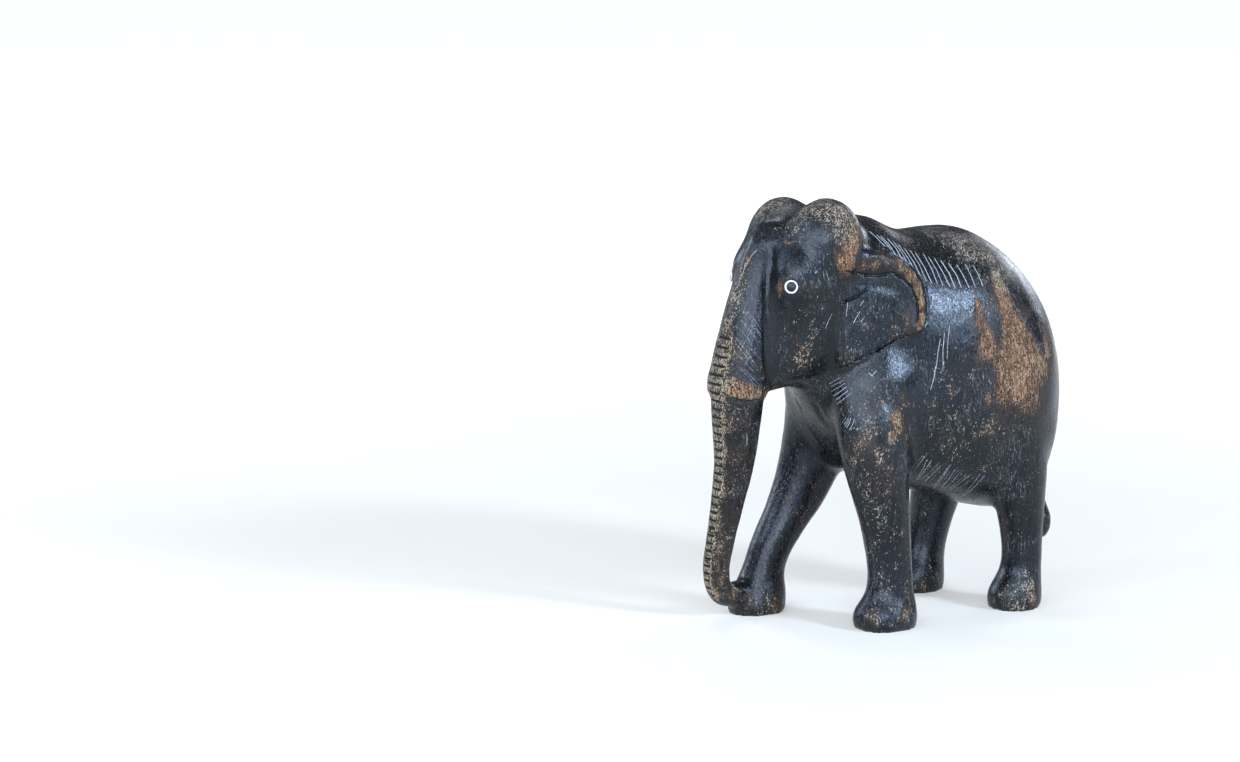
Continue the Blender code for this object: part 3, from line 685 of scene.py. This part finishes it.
wood = {
    # numbers that the functions above have stored on the mesh
    "fields": ("rubbed", "speckled", "paintedCutShade", "hairline", "bulge", "pupil"),
    # noises: width in mm, how many times longer than wide, lean of the long way, detail and roughness;
    # the real grain and pores are finer than a pixel, and are drawn this coarse to show
    "noises": {
        "zones": (22, 1.5, (0, 0, 0), 2, 0.5),
        "blotches": (6.0, 1.4, (0, 0, 0), 4, 0.60),
        "islands": (2.4, 1.6, (0, 0, 0), 3, 0.65),
        "flecks": (1.2, 1.3, (0, 0, 0), 2, 0.70),
        "fine": (0.52, 1.4, (0, 0, 0), 1, 0.70),
        "grain": (0.75, 4.5, (0.06, 0.04, 0), 2, 0.65),
        "longGrain": (2.4, 7, (0.06, 0.04, 0), 3, 0.60),
        "threads": (0.42, 70, (0.05, 0.10, 0), 1, 0.50),
        "slantThreads": (0.42, 50, (0.45, 0.20, 0), 1, 0.50),
        "threadPlaces": (14, 1, (0, 0, 0), 2, 0.50),
    },
    # shares: what is added up, each noise by its swing about its middle, and where the sum starts and ends
    # to count
    "shares": {
        "edges": ({"bulge": 1}, 0.25, 1.0),
        # painted shade: darker where the skin dips, as shade in hollows
        "paintedHollowShade": ({"bulge": -1, "flecks": 0.6}, 0.12, 0.7),
        "wear": ({"rubbed": 1, "edges": 0.2, "pupil": -1, "blotches": 1.2, "islands": 1.0, "grain": 0.9},
                 None, None),
        "bare": ({"wear": 1, "flecks": 1.5, "fine": 1.3}, 0.53, 0.65),
        "thin": ({"wear": 1, "flecks": 1.3, "fine": 1.0}, 0.14, 0.52),
        "blueZone": ({"zones": 1, "longGrain": 0.6}, -0.06, 0.08),
        "greenZone": ({"longGrain": 1, "zones": -0.8}, 0.02, 0.16),
        "handled": ({"grain": 0.9, "flecks": 0.8, "islands": 0.5}, 0.02, 0.30),
        "mottle": ({"fine": 1, "flecks": 0.7, "grain": 0.7, "longGrain": 0.3}, 0.17, 0.36),
        "brownGrain": ({"grain": 1, "fine": 0.5}, -0.14, 0.06),
        "paleGrain": ({"grain": -1.2, "longGrain": -0.6, "fine": 0.7}, -0.04, 0.16),
        "darkGrain": ({"longGrain": 1, "grain": 1.3}, 0.02, 0.22),
        "sparks": ({"fine": 1, "flecks": 0.5, "threadPlaces": 0.4}, 0.27, 0.33),
        "oliveZone": ({"blotches": 1, "zones": 0.8, "rubbed": -0.35}, -0.29, -0.12),
        "pits": ({"flecks": 1.3, "fine": 0.7, "grain": 1.0, "islands": 0.6, "rubbed": -0.40},
                 -0.27, -0.15),
        "dusty": ({"speckled": 1, "islands": 1.2, "fine": 0.6}, 0.25, 0.9),
        "film": ({"speckled": 1, "islands": 0.9, "fine": 0.5}, 0.66, 1.1),
        "grit": ({"fine": 1.0, "flecks": 0.4, "islands": 0.5, "blotches": 0.4, "speckled": 0.17,
                  "rubbed": 0.04}, 0.24, 0.33),
        "warmGrit": ({"flecks": 0.8, "grain": 0.8, "blotches": 0.8, "rubbed": 0.17, "speckled": 0.06},
                     0.26, 0.36),
        "pocks": ({"fine": -1, "flecks": -0.7, "islands": -0.4, "speckled": 0.13, "rubbed": 0.06},
                  0.15, 0.23),
        "threadPatch": ({"threadPlaces": 1}, 0.0, 0.12),
        "threadLine": ({"threads": 1}, 0.12, 0.18),
        "slantLine": ({"slantThreads": 1}, 0.13, 0.19),
        "scratch": ({"hairline": 1, "fine": 0.4}, 0.16, 0.50),
        # painted shade: near black down the cut lines and notches, with a little noise
        "paintedCreaseShade": ({"paintedCutShade": 1, "fine": 0.3}, 0.10, 0.45),
        "gloss": ({"fine": 0.20, "grain": 0.4, "blotches": 0.2, "bare": 0.42, "thin": 0.12, "grit": 0.2,
                   "warmGrit": 0.2, "film": 0.2, "pocks": 0.25}, None, None),
        "relief": ({"grain": 0.85, "flecks": 0.18, "fine": 0.10, "threads": 0.6, "bare": -0.2,
                    "islands": 0.15, "pocks": -0.15}, None, None),
    },
    # paint, one layer over another: share, strength and colour
    "dyeBase": "#060709",
    "dyeLayers": [("blueZone", 1.0, "#0a0f17"), ("greenZone", 0.8, "#0c110f"),
                  ("handled", 0.40, "#191e23"), ("mottle", 0.85, "#4b5158"), ("thin", 0.80, "#261b16"),
                  ("film", 0.26, "#5f5f59"), ("scuffs", 0.30, "#7b838d")],
    "bareBase": "#291a10",
    "bareLayers": [("brownGrain", 1.0, "#61452d"), ("oliveZone", 0.70, "#655940"),
                   ("darkGrain", 0.60, "#372417"), ("paleGrain", 0.70, "#97785c"),
                   ("dusty", 0.60, "#9d957e"), ("pits", 0.88, "#0f0d0b")],
    "topLayers": [("warmGrit", 0.62, "#7c5c45"), ("grit", 0.70, "#9c9483"), ("sparks", 0.60, "#a3a7a6"),
                  # the near-black crease layer is painted shade in the cut lines and notches
                  ("pocks", 0.88, "#0a0a0b"), ("scratch", 0.95, "#acb3bc"), ("paintedCreaseShade", 0.95, "#050607"),
                  # the near-black hollow layer is painted shade where the skin dips
                  ("paintedHollowShade", 0.75, "#07080a"), ("pupil", 0.8, "#090b0f")],
    "roughness": 0.25,           # of the burnished dye; bare wood is duller by the gloss sum
    "roughnessLimits": (0.17, 0.9),
    "specular": 0.36,
    "specularTint": (0.80, 0.90, 1.0, 1),    # the black shines a little cold
    "reliefStrength": 0.8,
    "reliefHeight": 0.16 * mm,
}


def paintOver(tree, tint, layers, shares):
    # coats of colour laid over a tint, each where its share says
    for share, strength, paint in layers:
        amount = addNode(tree, "Math", {0: shares[share], 1: strength}, operation="MULTIPLY")
        tint = addNode(tree, "Mix", {0: amount, 6: tint, 7: paint}, give=2, data_type="RGBA")
    return tint


def ebonisedWood():
    # pale carving wood, dyed black, burnished by hand and rubbed through: a soft sheen on the black,
    # and dull streaky brown where the dye has gone
    material, tree = newMaterial("ebonised_wood_hand_rubbed")
    place = addNode(tree, "TexCoord", give="Object")
    made = {}
    for name in wood["fields"]:
        made[name] = addNode(tree, "Attribute", give="Fac", attribute_name=name)
    for name, (width, longer, lean, detail, roughness) in wood["noises"].items():
        turned = addNode(tree, "Mapping", {"Vector": place, "Rotation": lean, "Scale": (1, 1, longer)},
                         vector_type="TEXTURE")
        made[name] = addNode(tree, "TexNoise", {"Vector": turned, "Scale": 1 / (width * mm), "Detail": detail,
                                                "Roughness": roughness})
    for name, (terms, low, high) in wood["shares"].items():
        total = -0.5 * sum(amount for part, amount in terms.items() if part in wood["noises"])
        for part, amount in terms.items():
            total = addNode(tree, "Math", {0: made[part], 1: amount, 2: total}, operation="MULTIPLY_ADD")
        if low is not None:
            total = addNode(tree, "MapRange", {0: total, 1: low, 2: high, 3: 0, 4: 1},
                            interpolation_type="SMOOTHSTEP")
        made[name] = total

    # long faint scratches from handling, in two slants, gathered in some places
    threads = addNode(tree, "Math", {0: made["threadLine"], 1: made["slantLine"]}, operation="MAXIMUM")
    made["scuffs"] = addNode(tree, "Math", {0: threads, 1: made["threadPatch"]}, operation="MULTIPLY")

    dye = paintOver(tree, wood["dyeBase"], wood["dyeLayers"], made)
    bare = paintOver(tree, wood["bareBase"], wood["bareLayers"], made)
    tint = addNode(tree, "Mix", {0: made["bare"], 6: dye, 7: bare}, give=2, data_type="RGBA")
    tint = paintOver(tree, tint, wood["topLayers"], made)

    gloss = addNode(tree, "Math", {0: made["gloss"], 1: wood["roughness"]}, operation="ADD")
    least, most = wood["roughnessLimits"]
    gloss = addNode(tree, "Clamp", {0: gloss, 1: least, 2: most})
    relief = addNode(tree, "Bump", {"Strength": wood["reliefStrength"], "Distance": wood["reliefHeight"],
                                    "Height": made["relief"]})
    surface = addNode(tree, "BsdfPrincipled", {
        "Base Color": tint, "Roughness": gloss, "IOR": 1.5, "Specular IOR Level": wood["specular"],
        "Specular Tint": wood["specularTint"], "Normal": relief})
    addNode(tree, "OutputMaterial", {"Surface": surface}, give=None)
    return material


ringMetal = {
    "rubWidth": 0.35 * mm,       # of the marks that rubbing leaves
    "tints": ("#9b9da0", "#ececea"),
    "roughness": (0.34, 0.55),
    "metallic": 0.55,            # dulled by a film of oxide and wax
    "reliefHeight": 0.05 * mm,
}


def dullAluminium():
    # thin aluminium tube, cut and rubbed level: pale grey with a soft, slightly scratched shine
    material, tree = newMaterial("aluminium_tube_rubbed")
    place = addNode(tree, "TexCoord", give="Object")
    rub = addNode(tree, "TexNoise", {"Vector": place, "Scale": 1 / ringMetal["rubWidth"], "Detail": 4,
                                     "Roughness": 0.6})
    share = addNode(tree, "MapRange", {0: rub, 1: 0.35, 2: 0.65, 3: 0, 4: 1})
    dark, light = ringMetal["tints"]
    tint = addNode(tree, "Mix", {0: share, 6: dark, 7: light}, give=2, data_type="RGBA")
    smooth, dull = ringMetal["roughness"]
    gloss = addNode(tree, "MapRange", {0: rub, 1: 0.3, 2: 0.7, 3: smooth, 4: dull})
    relief = addNode(tree, "Bump", {"Strength": 0.3, "Distance": ringMetal["reliefHeight"], "Height": rub})
    surface = addNode(tree, "BsdfPrincipled", {"Metallic": ringMetal["metallic"], "Base Color": tint,
                                               "Roughness": gloss, "Normal": relief})
    addNode(tree, "OutputMaterial", {"Surface": surface}, give=None)
    return material


# The studio: a pale table top, a white surround and soft boxes

studio = {
    "floorSize": 60.0,           # metres, so that its edge lies at the horizon
    "floorTints": ("#c9c7be", "#d0cdc4"),
    "floorClouds": 3.0,          # the paper's faint clouds, to the metre
    # the paper's glow, in this colour and strength, is painted light: weaker by the statue and stronger far
    # off
    "floorLight": "#f6fafe",
    "floorGlow": (0.27, 0.90),   # the lit table top lifts its own shadows: by the statue, and far off
    "glowReach": (0.25, 1.6),    # metres from the statue
    "surround": ("#f6f8fb", 0.17),
    "overhead": (0.3, 100),      # strength and spread in degrees of the light from the ceiling
    # name: place in metres, width and height in metres, watts and colour; each points at the statue
    "boxes": {
        "window_box": ((1.32, 0.58, 0.62), 0.42, 0.66, 8.5, "#d6e6ff"),
        "window_core": ((1.30, 0.67, 0.70), 0.24, 0.32, 19, "#d0e4ff"),
        "front_box": ((1.06, -1.18, 0.72), 2.50, 0.80, 43, "#e6efff"),
        "front_low": ((1.43, -0.67, 0.38), 0.90, 0.35, 4, "#e0ebff"),
        "far_left_box": ((-1.32, -0.70, 0.56), 0.60, 0.60, 9, "#d6e6ff"),
        "left_box": ((-0.25, -1.38, 0.90), 0.36, 0.40, 7, "#d6e4ff"),
        "back_box": ((-0.60, 1.40, 0.55), 0.60, 0.50, 7, "#eef4ff"),
        "back_high": ((-1.03, 0.37, 1.20), 0.50, 0.50, 4, "#eef4ff"),
    },
    "aim": (0, 0, 0.08),
}


def makeStudio():
    # a sheet of matt white paper: no shine, only the faintest clouds, and a painted glow that is weaker by
    # the statue than far off
    bpy.ops.object.select_all(action="DESELECT")
    bpy.ops.mesh.primitive_plane_add(size=studio["floorSize"])
    floor = bpy.context.object
    floor.name = "studio_floor"
    material, tree = newMaterial("white_paper_sweep")
    place = addNode(tree, "TexCoord", give="Object")
    cloud = addNode(tree, "TexNoise", {"Vector": place, "Scale": studio["floorClouds"], "Detail": 2})
    dark, light = studio["floorTints"]
    tint = addNode(tree, "Mix", {0: cloud, 6: dark, 7: light}, give=2, data_type="RGBA")
    away = addNode(tree, "VectorMath", {0: place}, give="Value", operation="LENGTH")
    near, far = studio["glowReach"]
    dim, bright = studio["floorGlow"]
    # painted light: the paper glows more the farther it lies from the statue
    glow = addNode(tree, "MapRange", {0: away, 1: near, 2: far, 3: dim, 4: bright})
    surface = addNode(tree, "BsdfPrincipled", {
        "Base Color": tint, "Roughness": 0.9, "Specular IOR Level": 0.1,
        "Emission Color": studio["floorLight"], "Emission Strength": glow})
    addNode(tree, "OutputMaterial", {"Surface": surface}, give=None)
    floor.data.materials.append(material)

    world = bpy.context.scene.world or bpy.data.worlds.new("surround")
    bpy.context.scene.world = world
    world.use_nodes = True
    backdrop = world.node_tree.nodes["Background"]
    backdrop.inputs["Color"].default_value = colour(studio["surround"][0])
    backdrop.inputs["Strength"].default_value = studio["surround"][1]
    bpy.ops.object.light_add(type="SUN", location=(0, 0, 1.5))
    ceiling = bpy.context.object
    ceiling.name = "ceiling_light"
    ceiling.data.energy = studio["overhead"][0]
    ceiling.data.angle = math.radians(studio["overhead"][1])
    for name, (place, width, height, watts, tint) in studio["boxes"].items():
        bpy.ops.object.light_add(type="AREA", location=place)
        box = bpy.context.object
        box.name = name
        box.data.shape = "RECTANGLE"
        box.data.size, box.data.size_y = width, height
        box.data.energy = watts
        box.data.color = colour(tint)[:3]
        box.rotation_euler = (Vector(studio["aim"]) - Vector(place)).to_track_quat("-Z", "Y").to_euler()
    bpy.context.scene.view_settings.view_transform = "Standard"


camera = makeCamera()
print("camera: set at the photograph's place")

elephant = makeCarving()
elephant.data.materials.append(ebonisedWood())
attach(elephant, "root")
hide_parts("elephant")

metal = dullAluminium()
for side, middle, look in eyeSides():
    ring = makeEyeRing(side, middle, look)
    ring.data.materials.append(metal)
    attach(ring, "root")
    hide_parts("eye_ring_" + side)
print("eyes: two inlaid rings")

makeStudio()
print("studio: floor, surround and soft boxes")

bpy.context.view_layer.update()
